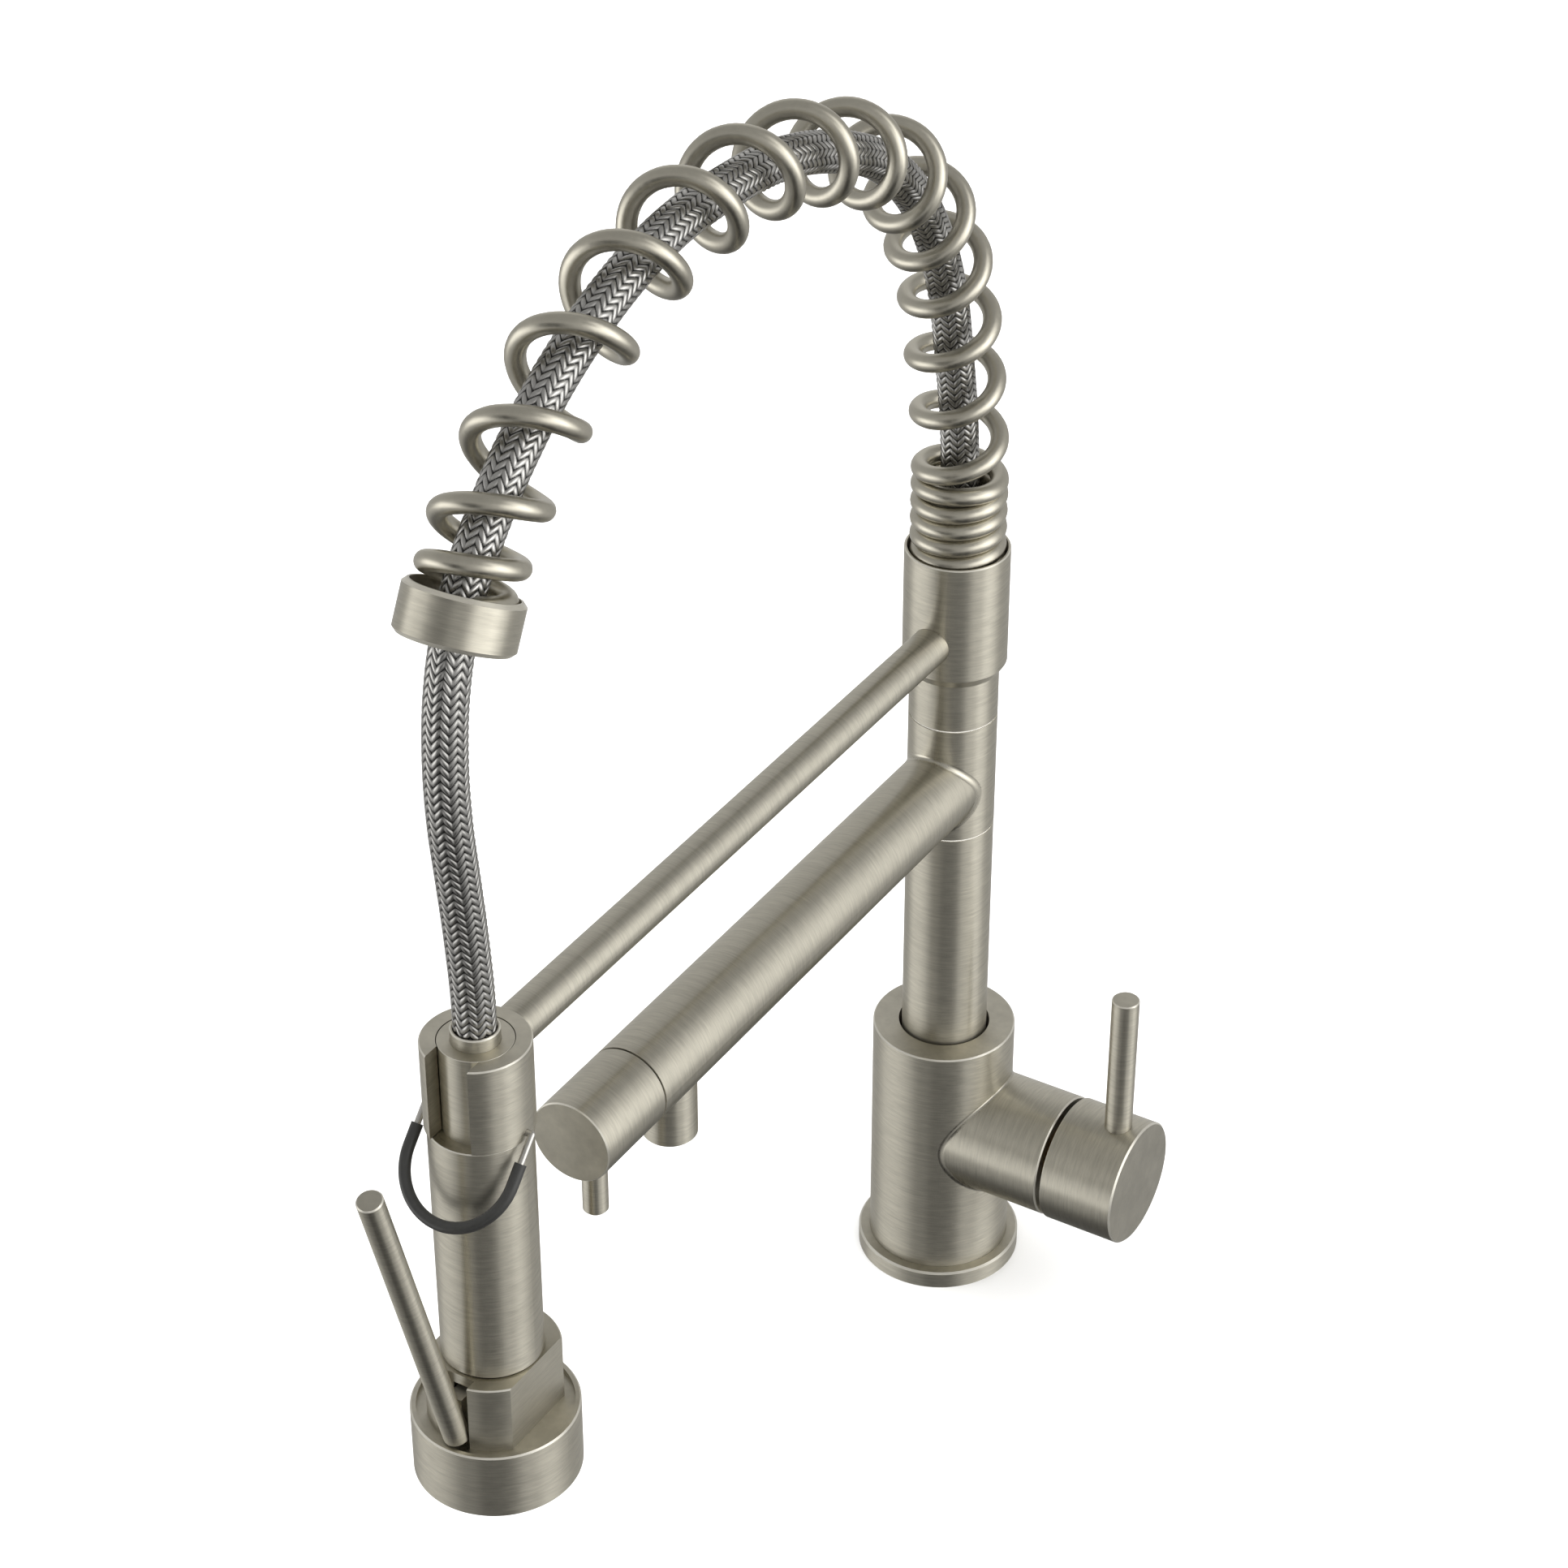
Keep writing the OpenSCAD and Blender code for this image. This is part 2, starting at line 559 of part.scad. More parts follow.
module spray_distributor() color(plastic) at_sprayer() difference() {
    rod(bell_z0 + 4.2, bell_z0 + 7, bell_d - 4.6);
    for (a = [0 : 30 : 359]) rotate([0, 0, a]) translate([14, 0, 0]) rod(bell_z0, bell_z0 + 8, 3);
    rod(bell_z0, bell_z0 + 8, 3.2);
}
module spray_face() color(rubber) at_sprayer() difference() {
    union() {
        rod(bell_z0 + 1.2, bell_z0 + 4.1, bell_d - 4.6);
        for (ring = [[8, 7], [14, 12], [20, 18]]) for (k = [0 : ring[1] - 1]) rotate([0, 0, 360 * k / ring[1]])
            translate([ring[0], 0, 0]) rod(bell_z0 + 0.2, bell_z0 + 2, 2.2);
    }
    for (ring = [[8, 7], [14, 12], [20, 18]]) for (k = [0 : ring[1] - 1]) rotate([0, 0, 360 * k / ring[1]])
        translate([ring[0], 0, 0]) rod(bell_z0, bell_z0 + 5, 1);
    rod(bell_z0, bell_z0 + 5, 3.2);
    rod(bell_z0, bell_z0 + 2.4, 7);
}
module face_screw() color(brass) at_sprayer() difference() {
    union() {
        rod(bell_z0 + 1.4, bell_z0 + 2.4, 6.6);
        rod(bell_z0 + 2, bell_z0 + 9, 3);
    }
    translate([-3.5, -0.4, bell_z0]) cube([7, 0.8, 1.9]);
}

// Bail: a U of wire, drawn hanging along -Z from its pivots and tilted forward
module at_bail() translate([0, -reach, bail_z]) rotate([-bail_tilt, 0, 0]) children();
module bail_u(d, leg_top) {
    translate([0, 0, -bail_leg]) rotate([90, 0, 0]) rotate([0, 0, 180]) rotate_extrude(angle = 180)
        translate([bail_r, 0]) circle(d = d, $fn = 24);
    for (s = [-1, 1]) translate([s * bail_r, 0, -bail_leg]) cylinder(h = bail_leg + leg_top, d = d, $fn = 24);
}
module bail_wire() color(nickel) at_bail() union() {
    bail_u(bail_wire_d, 0);
    for (s = [-1, 1]) {
        translate([s * bail_r, 0, 0]) sphere(d = bail_wire_d, $fn = 24);
        rotate([0, s * 90, 0]) rod(13.4, bail_r, bail_wire_d);
    }
}
module bail_sleeve() color(rubber) at_bail() difference() {
    bail_u(3.6, -bail_leg + sleeve_arc_leg);
    bail_u(bail_wire_d + 0.1, 5);
}

base_ring();
base_gasket();
body();
cartridge_body();
cartridge_seals();
disc_fixed();
disc_moving();
cartridge_rotor();
stem_pin();
cartridge_nut();
mixer_stem();
handle_cap();
handle_rod();
handle_screw();
column_tube();
column_orings();
swivel_post();
post_orings();
post_nut();
swivel_washers();
spout();
spout_drum();
drum_orings();
drum_nut();
spout_cap();
cap_pin();
aerator_housing();
aerator_insert();
aerator_washer();
swivel_sleeve();
collar();
collar_screw();
hose_connector();
connector_oring();
hose_crimp();
arm_rod();
dock();
spring();
spring_ferrule();
ferrule_bush();
hose();
hose_nut();
sprayer_neck();
check_valve();
sprayer_grip();
water_tube();
valve_block();
valve_plug();
valve_plunger();
plunger_spring();
spray_lever();
lever_pin();
spray_bell();
spray_distributor();
spray_face();
face_screw();
bail_wire();
bail_sleeve();
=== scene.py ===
"""Looks of a spring-arch pull-down kitchen faucet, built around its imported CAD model.

Metres. +Z is up from the deck, the column stands on the Z axis, the spout, arm and
spring arch reach toward -Y and the mixer toward +X.
"""

import json
import math

import bpy
import numpy as np
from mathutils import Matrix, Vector


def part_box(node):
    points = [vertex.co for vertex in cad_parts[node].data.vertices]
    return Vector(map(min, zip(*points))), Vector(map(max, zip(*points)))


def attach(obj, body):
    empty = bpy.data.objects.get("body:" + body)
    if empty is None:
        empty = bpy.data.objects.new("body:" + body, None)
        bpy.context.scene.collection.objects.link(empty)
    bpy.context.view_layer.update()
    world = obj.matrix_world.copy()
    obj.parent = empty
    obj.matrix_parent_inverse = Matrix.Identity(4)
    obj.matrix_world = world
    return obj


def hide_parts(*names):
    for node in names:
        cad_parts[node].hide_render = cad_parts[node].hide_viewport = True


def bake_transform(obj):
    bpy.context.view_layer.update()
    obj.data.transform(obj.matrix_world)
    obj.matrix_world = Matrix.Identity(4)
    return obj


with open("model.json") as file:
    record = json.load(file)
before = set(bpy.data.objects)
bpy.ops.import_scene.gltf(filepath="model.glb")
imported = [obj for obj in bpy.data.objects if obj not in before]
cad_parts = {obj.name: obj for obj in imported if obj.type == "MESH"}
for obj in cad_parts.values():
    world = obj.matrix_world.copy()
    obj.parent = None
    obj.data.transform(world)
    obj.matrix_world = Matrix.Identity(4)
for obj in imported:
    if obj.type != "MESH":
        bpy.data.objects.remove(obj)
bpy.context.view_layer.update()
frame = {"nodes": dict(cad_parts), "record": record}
nodes = frame["nodes"]

# Camera
CAMERA_AT = (0.50984, -0.95329, 0.91319)
CAMERA_TILT = 56.52
CAMERA_TURN = 31.14
CAMERA_LENS = 87.58
CAMERA_SENSOR = 36.0

# Sizes read from the frame. The handle cap stands a little proud of the branch behind it
CAP_OVERHANG = 0.0004
spout_cap_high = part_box("spout_cap")[1]
spout_radius = spout_cap_high.x
spout_height = spout_cap_high.z - spout_radius
hub_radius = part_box("spout")[1].x
body_radius = -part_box("body")[0].x
branch_height = sum(corner.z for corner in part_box("cartridge_nut")) / 2
branch_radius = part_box("handle_cap")[1].y - CAP_OVERHANG
outlet_y = sum(corner.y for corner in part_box("aerator_housing")) / 2

# Spring and hose routes, as [reach, height] stations from the column axis and the deck
ARCH_FOOT = 0.321
WIRE_RADIUS = 0.003
COIL_RADIUS = 0.0129
COIL_END_RADIUS = 0.0111
COIL_END_TAPER = 1.6
CLOSE_TURNS = 7
CLOSE_PITCH = 0.0061
ARCH_TURNS = 15.65
ARCH = [
    (0, 0), (0.002, 0.021), (0.006, 0.043), (0.011, 0.066), (0.02, 0.088),
    (0.034, 0.109), (0.055, 0.128), (0.081, 0.141), (0.11, 0.15), (0.14, 0.153),
    (0.17, 0.152), (0.198, 0.145), (0.224, 0.133), (0.245, 0.118), (0.26, 0.103),
    (0.267, 0.0935), (0.271, 0.086),
]
HOSE_RADIUS = 0.0063
HOSE_START = (0, -0.0407)
HOSE_RISE = (0, -0.0207)
HOSE_DROP = [
    (0.269, 0.091), (0.276, 0.076), (0.28, 0.06), (0.2815, 0.042), (0.281, 0.024),
    (0.279, 0.006), (0.277, -0.012), (0.2755, -0.03), (0.275, -0.042), (0.275, -0.0526),
]


def lift(station):
    """A station's place in the plane of the arch, as (y, z)."""
    return np.array([-station[0], station[1] + ARCH_FOOT])


def cubic(a, b, c, d, t):
    """Catmull-Rom point between b and c."""
    return 0.5 * (
        2 * b + (c - a) * t + (2 * a - 5 * b + 4 * c - d) * t * t
        + (3 * b - a - 3 * c + d) * t * t * t
    )


def along(stations, u):
    """The point at u station steps along a route."""
    last = len(stations) - 1
    i = max(0, min(last - 1, math.floor(u)))
    return cubic(
        stations[max(0, i - 1)], stations[i], stations[i + 1],
        stations[min(last, i + 2)], u - i,
    )


def unit(v):
    return v / np.linalg.norm(v)


# ---------------------------------------------------------------- mesh helpers


def add_mesh(name, points, faces):
    mesh = bpy.data.meshes.new(name)
    mesh.from_pydata([tuple(p) for p in points], [], faces)
    mesh.validate()
    mesh.update()
    mesh.shade_smooth()
    made = bpy.data.objects.new(name, mesh)
    bpy.context.scene.collection.objects.link(made)
    return made


def tube_faces(rows, sides, capped=True):
    """Quads of a tube whose points run round each row in turn, with flat end caps."""
    faces = []
    for i in range(rows - 1):
        for k in range(sides):
            a, b = i * sides + k, i * sides + (k + 1) % sides
            faces.append((a, b, b + sides, a + sides))
    if capped:
        faces.append(tuple(reversed(range(sides))))
        faces.append(tuple(range((rows - 1) * sides, rows * sides)))
    return faces


# ---------------------------------------------------------------- materials

NICKEL = (0.585, 0.557, 0.474, 1)
# Pale colour of the painted highlight on bevelled rims
RIM_HIGHLIGHT_COLOUR = (0.93, 0.91, 0.84, 1)
STEEL = (0.62, 0.605, 0.57, 1)


class Tree:
    """A material's node tree, with short calls for the nodes used here."""

    def __init__(self, name):
        self.material = bpy.data.materials.new(name)
        self.material.use_nodes = True
        self.tree = self.material.node_tree
        self.shader = self.tree.nodes["Principled BSDF"]
        self.place = self.node("ShaderNodeTexCoord").outputs["Object"]

    def node(self, kind, **settings):
        made = self.tree.nodes.new(kind)
        for key, value in settings.items():
            setattr(made, key, value)
        return made

    def feed(self, socket, value):
        if isinstance(value, bpy.types.NodeSocket):
            self.tree.links.new(value, socket)
        else:
            socket.default_value = value

    def math(self, operation, a, b=0.0):
        made = self.node("ShaderNodeMath", operation=operation)
        self.feed(made.inputs[0], a)
        self.feed(made.inputs[1], b)
        return made.outputs[0]

    def vector(self, operation, a, b=(0, 0, 0)):
        made = self.node("ShaderNodeVectorMath", operation=operation)
        self.feed(made.inputs[0], a)
        if operation == "SCALE":
            self.feed(made.inputs["Scale"], b)
        else:
            self.feed(made.inputs[1], b)
        return made.outputs["Value" if operation in ("LENGTH", "DOT_PRODUCT") else "Vector"]

    def mix_vector(self, share, a, b):
        made = self.node("ShaderNodeMix", data_type="VECTOR")
        self.feed(made.inputs["Factor"], share)
        self.feed(made.inputs[4], a)
        self.feed(made.inputs[5], b)
        return made.outputs[1]

    def mix_colour(self, share, a, b):
        made = self.node("ShaderNodeMix", data_type="RGBA")
        self.feed(made.inputs["Factor"], share)
        self.feed(made.inputs[6], a)
        self.feed(made.inputs[7], b)
        return made.outputs[2]

    def noise(self, vector, scale=1.0, detail=2.0, roughness=0.5):
        made = self.node("ShaderNodeTexNoise")
        self.feed(made.inputs["Vector"], vector)
        made.inputs["Scale"].default_value = scale
        made.inputs["Detail"].default_value = detail
        made.inputs["Roughness"].default_value = roughness
        return made.outputs["Fac"]

    def span(self, value, low, high, to_low, to_high):
        made = self.node("ShaderNodeMapRange")
        self.feed(made.inputs["Value"], value)
        for key, number in (
            ("From Min", low), ("From Max", high), ("To Min", to_low), ("To Max", to_high),
        ):
            made.inputs[key].default_value = number
        return made.outputs["Result"]

    def bump(self, height, strength, distance):
        made = self.node("ShaderNodeBump")
        made.inputs["Strength"].default_value = strength
        made.inputs["Distance"].default_value = distance
        self.feed(made.inputs["Height"], height)
        self.feed(self.shader.inputs["Normal"], made.outputs["Normal"])

    def flat_normal(self):
        """The direction a face of the piece points, in the piece's own space."""
        turned = self.node("ShaderNodeVectorTransform", vector_type="NORMAL",
                           convert_from="WORLD", convert_to="OBJECT")
        self.feed(turned.inputs[0], self.node("ShaderNodeNewGeometry").outputs["True Normal"])
        return turned.outputs[0]

    def radius_about(self, axis_mask, centre=(0, 0, 0)):
        """Distance from an axis; the mask is 0 along the axis and 1 across it."""
        away = self.vector("SUBTRACT", self.place, centre)
        return self.vector("LENGTH", self.vector("MULTIPLY", away, axis_mask))


# Brushing lines per metre along the axis, where they are close, and round it, where they
# are long
LINES_ALONG = 1150.0
LINES_ROUND = 95.0


def brushed(name, axis, parts=(), streak=1.0, rim_highlight_strength=0.4, highlight_both_rims=False):
    """Satin nickel brushed round an axis, with a painted highlight on its bevelled rims: faces at
    45 degrees to the axis get a pale colour and less metal, so the diffuse-only overhead light
    makes them bright lines. parts lists (axis, mask) for branches of the piece that were turned
    about another axis; each mask is a function of the tree. Rims facing back along the axis
    only get the painted highlight when the flag for both rims is set."""
    t = Tree(name)
    turned = axis
    for other, mask in parts:
        turned = t.mix_vector(mask(t), turned, other)
    length = t.vector("DOT_PRODUCT", t.place, turned)
    stretch = t.vector("SCALE", turned, t.math("MULTIPLY", length, LINES_ALONG))
    lines = t.vector("ADD", t.vector("SCALE", t.place, LINES_ROUND), stretch)
    coarse = t.noise(lines, 1.0, 3.0, 0.65)
    fine = t.noise(lines, 2.7, 2.0, 0.6)
    cloud = t.noise(t.place, 28.0, 2.0, 0.5)
    t.shader.inputs["Anisotropic"].default_value = 0.8
    tone = t.math("ADD", t.span(coarse, 0.25, 0.75, -0.13 * streak, 0.13 * streak),
                  t.span(fine, 0.25, 0.75, -0.07 * streak, 0.07 * streak))
    tone = t.math("ADD", tone, t.span(cloud, 0.3, 0.7, 0.97, 1.03))
    shaded = t.vector("SCALE", NICKEL[:3], tone)
    # Painted highlight: faces near 45 degrees to the turning axis (the bevels) are mixed toward the pale
    # rim colour and made less metallic, so the diffuse overhead light paints a bright line there
    facing = t.vector("DOT_PRODUCT", t.flat_normal(), turned)
    if highlight_both_rims:
        facing = t.math("ABSOLUTE", facing)
    off_bevel = t.math("ABSOLUTE", t.math("SUBTRACT", facing, math.sqrt(0.5)))
    rim_highlight = t.span(off_bevel, 0.02, 0.08, rim_highlight_strength, 0.0)
    t.feed(t.shader.inputs["Metallic"], t.math("SUBTRACT", 1.0, t.math("MULTIPLY", rim_highlight, 0.4)))
    t.feed(t.shader.inputs["Base Color"], t.mix_colour(rim_highlight, shaded, RIM_HIGHLIGHT_COLOUR))
    t.feed(t.shader.inputs["Roughness"], t.span(fine, 0.2, 0.8, 0.34, 0.44))
    leaning = t.vector("ADD", turned, (0.06, 0.04, 0.03))
    to_world = t.node("ShaderNodeVectorTransform", vector_type="VECTOR",
                      convert_from="OBJECT", convert_to="WORLD")
    t.feed(to_world.inputs[0], leaning)
    t.feed(t.shader.inputs["Tangent"], to_world.outputs[0])
    t.bump(t.math("ADD", coarse, fine), 0.3 * streak, 0.00004)
    return t.material


def satin(name, colour, roughness, grain=900.0, strength=0.12):
    """Metal with a fine even grain."""
    t = Tree(name)
    speck = t.noise(t.place, grain, 3.0, 0.6)
    cloud = t.noise(t.place, 45.0, 2.0, 0.5)
    t.shader.inputs["Metallic"].default_value = 1.0
    tone = t.math("ADD", t.span(speck, 0.3, 0.7, -0.03, 0.03), t.span(cloud, 0.3, 0.7, 0.97, 1.03))
    t.feed(t.shader.inputs["Base Color"], t.vector("SCALE", colour[:3], tone))
    t.feed(t.shader.inputs["Roughness"],
           t.span(speck, 0.3, 0.7, roughness - 0.04, roughness + 0.04))
    t.bump(speck, strength, 0.00003)
    return t.material


def moulded(name, colour, roughness, grain=700.0, strength=0.15, sheen=0.0):
    """Rubber, acetal or ceramic with a fine moulded or lapped grain."""
    t = Tree(name)
    speck = t.noise(t.place, grain, 3.0, 0.6)
    cloud = t.noise(t.place, 60.0, 2.0, 0.5)
    tone = t.math("ADD", t.span(speck, 0.3, 0.7, -0.06, 0.06), t.span(cloud, 0.3, 0.7, 0.94, 1.06))
    t.feed(t.shader.inputs["Base Color"], t.vector("SCALE", colour[:3], tone))
    t.feed(t.shader.inputs["Roughness"],
           t.span(speck, 0.3, 0.7, roughness - 0.05, roughness + 0.05))
    t.shader.inputs["Sheen Weight"].default_value = sheen
    t.bump(speck, strength, 0.00005)
    return t.material


def dress(obj, material):
    obj.data.materials.clear()
    obj.data.materials.append(material)


ALONG_X, ALONG_Y, ALONG_Z = (1, 0, 0), (0, 1, 0), (0, 0, 1)
LEVER_LEAN = math.radians(15.9)
ALONG_LEVER = (0, -math.sin(LEVER_LEAN), math.cos(LEVER_LEAN))
FERRULE_LEAN = math.radians(27)
ALONG_FERRULE = (0, math.sin(FERRULE_LEAN), math.cos(FERRULE_LEAN))


# The outlet pipe's brushing reaches this far from its axis, and starts this far under the
# spout's axis
OUTLET_REACH = 0.009
OUTLET_DEPTH = 0.0107


def beyond_column(radius):
    """A mask that is 1 outside a round piece on the column axis."""
    return lambda t: t.math("GREATER_THAN", t.radius_about((1, 1, 0)), radius + 0.0001)


def in_outlet(t):
    """The short outlet pipe under the spout."""
    near = t.math("LESS_THAN", t.radius_about((1, 1, 0), (0, outlet_y, 0)), OUTLET_REACH)
    split = t.node("ShaderNodeSeparateXYZ")
    t.feed(split.inputs[0], t.place)
    below = t.math("LESS_THAN", split.outputs["Z"], spout_height - OUTLET_DEPTH)
    return t.math("MULTIPLY", near, below)


turned_z = brushed("turned_upright", ALONG_Z)
turned_y = brushed("turned_spout", ALONG_Y, highlight_both_rims=True)
turned_x = brushed("turned_mixer", ALONG_X, highlight_both_rims=True)
brushed_by_node = {
    turned_z: ["base_ring", "column_tube", "swivel_sleeve", "collar", "dock", "hose_nut",
               "sprayer_neck", "sprayer_grip", "spray_bell", "handle_rod", "cap_pin"],
    turned_y: ["spout_cap", "arm_rod"],
    turned_x: ["handle_cap"],
    brushed("turned_body", ALONG_Z, [(ALONG_X, beyond_column(body_radius))]): ["body"],
    brushed("turned_hub_and_spout", ALONG_Z,
            [(ALONG_Y, beyond_column(hub_radius)), (ALONG_Z, in_outlet)]): ["spout"],
    brushed("turned_lever", ALONG_LEVER): ["spray_lever"],
    brushed("milled_block", ALONG_Z, streak=0.7): ["valve_block"],
    brushed("turned_ferrule", ALONG_FERRULE, rim_highlight_strength=0.25, highlight_both_rims=True): ["spring_ferrule"],
}
plain_steel = satin("plain_steel", STEEL, 0.3)
machined_brass = satin("machined_brass", (0.72, 0.55, 0.3, 1), 0.3)
black_rubber = moulded("black_rubber", (0.02, 0.02, 0.02, 1), 0.6)
sleeve_rubber = moulded("sleeve_rubber", (0.018, 0.018, 0.017, 1), 0.4, sheen=0.03)
acetal = moulded("acetal", (0.78, 0.76, 0.7, 1), 0.45)
ceramic = moulded("ceramic", (0.8, 0.78, 0.72, 1), 0.2, 1400.0, 0.05)
nozzle_rubber = moulded("nozzle_rubber", (0.09, 0.09, 0.09, 1), 0.55)

for material, names in brushed_by_node.items():
    for name in names:
        dress(nodes[name], material)
slot_materials = {
    "steel": plain_steel, "brass": machined_brass, "rubber": black_rubber,
    "plastic": acetal, "ceramic": ceramic, "sleeve": sleeve_rubber,
}
slot_of = {s["node"]: s["material_slot"] for s in frame["record"]["subparts"]}
for name, obj in nodes.items():
    if slot_of[name] in slot_materials:
        dress(obj, slot_materials[slot_of[name]])
dress(nodes["spray_face"], nozzle_rubber)

# ---------------------------------------------------------------- camera

camera = bpy.data.objects.new("camera", bpy.data.cameras.new("camera"))
bpy.context.scene.collection.objects.link(camera)
camera.location = CAMERA_AT
camera.rotation_euler = (math.radians(CAMERA_TILT), 0, math.radians(CAMERA_TURN))
camera.data.lens = CAMERA_LENS
camera.data.sensor_width = CAMERA_SENSOR
camera.data.clip_start = 0.05
camera.data.clip_end = 60.0
bpy.context.scene.camera = camera

# ---------------------------------------------------------------- hose

BRAID_COLUMNS = 16
BRAID_PITCH = 0.0026
BRAID_DEPTH = 0.0005
SIDES_PER_COLUMN = 8
ROWS_PER_PITCH = 14
SAMPLES_PER_STATION = 40
ROWS_PER_CENTRE = 12


def route_rows(stations, step):
    """Points and directions at even steps along a route in the Y-Z plane."""
    us = np.linspace(0, len(stations) - 1, SAMPLES_PER_STATION * len(stations))
    points = np.array([along(stations, u) for u in us])
    reached = np.concatenate([[0], np.cumsum(np.linalg.norm(np.diff(points, axis=0), axis=1))])
    count = int(reached[-1] / step) + 1
    marks = np.linspace(0, reached[-1], count)
    line = np.column_stack([np.interp(marks, reached, points[:, i]) for i in (0, 1)])
    ahead = np.gradient(line, axis=0)
    ahead /= np.linalg.norm(ahead, axis=1)[:, None]
    return marks, line, ahead


def braid_height(turn, distance):
    """Height of a herringbone braid, 0 in the gaps and 1 on a strand. turn counts columns
    round the hose and distance counts chevrons along it."""
    across = turn % 1.0
    slant = np.where(np.floor(turn) % 2 == 0, across, 1 - across)
    strand = (distance + slant) % 1.0
    bow = np.sin(np.pi * np.clip(strand * 1.06 - 0.03, 0, 1)) ** 0.4
    dive = 0.4 + 0.6 * np.sin(np.pi * np.clip(across, 0.03, 0.97)) ** 0.45
    wires = 0.86 + 0.14 * np.abs(np.sin(np.pi * strand * 4))
    return bow * dive * wires


def make_hose():
    stations = [lift(p) for p in [HOSE_START, HOSE_RISE] + ARCH[:15] + HOSE_DROP]
    marks, line, ahead = route_rows(stations, BRAID_PITCH / ROWS_PER_PITCH)
    sides = BRAID_COLUMNS * SIDES_PER_COLUMN
    angle = 2 * np.pi * np.arange(sides) / sides
    turn, distance = np.meshgrid(np.arange(sides) / SIDES_PER_COLUMN, marks / BRAID_PITCH)
    height = braid_height(turn, distance)
    radius = HOSE_RADIUS - BRAID_DEPTH * (1 - height)
    out_up = radius * np.sin(angle)
    points = np.stack([
        radius * np.cos(angle),
        line[:, :1] - out_up * ahead[:, 1:],
        line[:, 1:] + out_up * ahead[:, :1],
    ], axis=-1).reshape(-1, 3)
    hose = add_mesh("hose_braid", points, tube_faces(len(marks), sides))
    raised = hose.data.attributes.new("raised", "FLOAT", "POINT")
    raised.data.foreach_set("value", height.ravel().astype(np.float32))
    centreline = [(0.0, float(p[0]), float(p[1])) for p in line[::ROWS_PER_CENTRE]]
    centreline.append((0.0, float(line[-1][0]), float(line[-1][1])))
    return hose, centreline, float(marks[-1])


def braid_material():
    t = Tree("steel_braid")
    raised = t.node("ShaderNodeAttribute", attribute_name="raised").outputs["Fac"]
    speck = t.noise(t.place, 900.0, 2.0, 0.5)
    wire = t.mix_colour(speck, (0.4, 0.395, 0.38, 1), (0.66, 0.65, 0.63, 1))
    # Painted shade: the base colour fades to near black in the gaps between strands, standing in for the
    # shade that falls between the wires
    gap_shade = t.span(raised, 0.28, 0.68, 0.0, 1.0)
    t.feed(t.shader.inputs["Base Color"], t.mix_colour(gap_shade, (0.03, 0.03, 0.03, 1), wire))
    t.shader.inputs["Metallic"].default_value = 1.0
    t.feed(t.shader.inputs["Roughness"], t.span(raised, 0.0, 1.0, 0.6, 0.26))
    t.bump(speck, 0.1, 0.00005)
    return t.material


hose, hose_line, hose_length = make_hose()
dress(hose, braid_material())
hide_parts("hose")
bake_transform(hose)

# ---------------------------------------------------------------- spring

WIRE_STEPS = 48
WIRE_SIDES = 20
# The wire's ends are rounded off over their last two rows
WIRE_END_ROWS = (0.55, 0.85)


def make_spring():
    stations = [lift((0, -k * CLOSE_PITCH)) for k in range(CLOSE_TURNS, 0, -1)]
    stations += [lift(p) for p in ARCH]
    turns = CLOSE_TURNS + ARCH_TURNS

    def coil(u):
        centre = along(stations, u)
        ahead = unit(along(stations, u + 0.02) - along(stations, u - 0.02))
        taper = max(0.0, u - turns + COIL_END_TAPER) / COIL_END_TAPER
        radius = COIL_RADIUS + (COIL_END_RADIUS - COIL_RADIUS) * taper
        a = 2 * math.pi * u
        return np.array([
            -radius * math.cos(a),
            centre[0] - radius * math.sin(a) * ahead[1],
            centre[1] + radius * math.sin(a) * ahead[0],
        ]), np.array([0, *centre])

    us = np.linspace(0.02, 0.02 + math.floor(turns * 16) / 16, int(turns * WIRE_STEPS))
    angles = 2 * np.pi * np.arange(WIRE_SIDES) / WIRE_SIDES
    points = []
    ends = {}
    for row, share in enumerate(WIRE_END_ROWS):
        ends[row] = share
        ends[len(us) - 1 - row] = share
    for i, u in enumerate(us):
        point, centre = coil(u)
        ahead = unit(coil(u + 0.01)[0] - coil(u - 0.01)[0])
        side = unit(np.cross(ahead, point - centre))
        out = np.cross(side, ahead)
        radius = WIRE_RADIUS * ends.get(i, 1.0)
        for a in angles:
            points.append(point + radius * (math.cos(a) * out + math.sin(a) * side))
    return add_mesh("spring_coil", points, tube_faces(len(us), WIRE_SIDES))


spring = make_spring()
dress(spring, satin("spring_wire", NICKEL, 0.34, 650.0, 0.15))
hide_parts("spring")
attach(spring, "top")

# ---------------------------------------------------------------- weld fillets

FILLET_ROWS = 96
FILLET_ARC = np.linspace(0, 1, 9)[:, None]
FILLET_LIFT = 0.00002
BRANCH_FILLET = 0.0011
HUB_FILLET = 0.0016


def make_fillet(name, points, normals_a, normals_b, size):
    """A concave strip along the closed line where two round pieces meet, given its points
    and both surfaces' outward directions there."""
    line = np.cross(normals_a, normals_b)
    line /= np.linalg.norm(line, axis=1)[:, None]

    def away(own, other):
        across = np.cross(line, own)
        across *= np.sign((across * other).sum(axis=1))[:, None]
        return across * size + own * FILLET_LIFT

    rows = []
    for point, a, b in zip(points, away(normals_a, normals_b), away(normals_b, normals_a)):
        t = FILLET_ARC
        rows.append((1 - t) ** 2 * (point + a) + 2 * t * (1 - t) * point + t ** 2 * (point + b))
    across = len(FILLET_ARC)
    faces = []
    for i in range(len(points)):
        for k in range(across - 1):
            a, b = i * across + k, (i + 1) % len(points) * across + k
            faces.append((a, a + 1, b + 1, b))
    return add_mesh(name, np.concatenate(rows), faces)


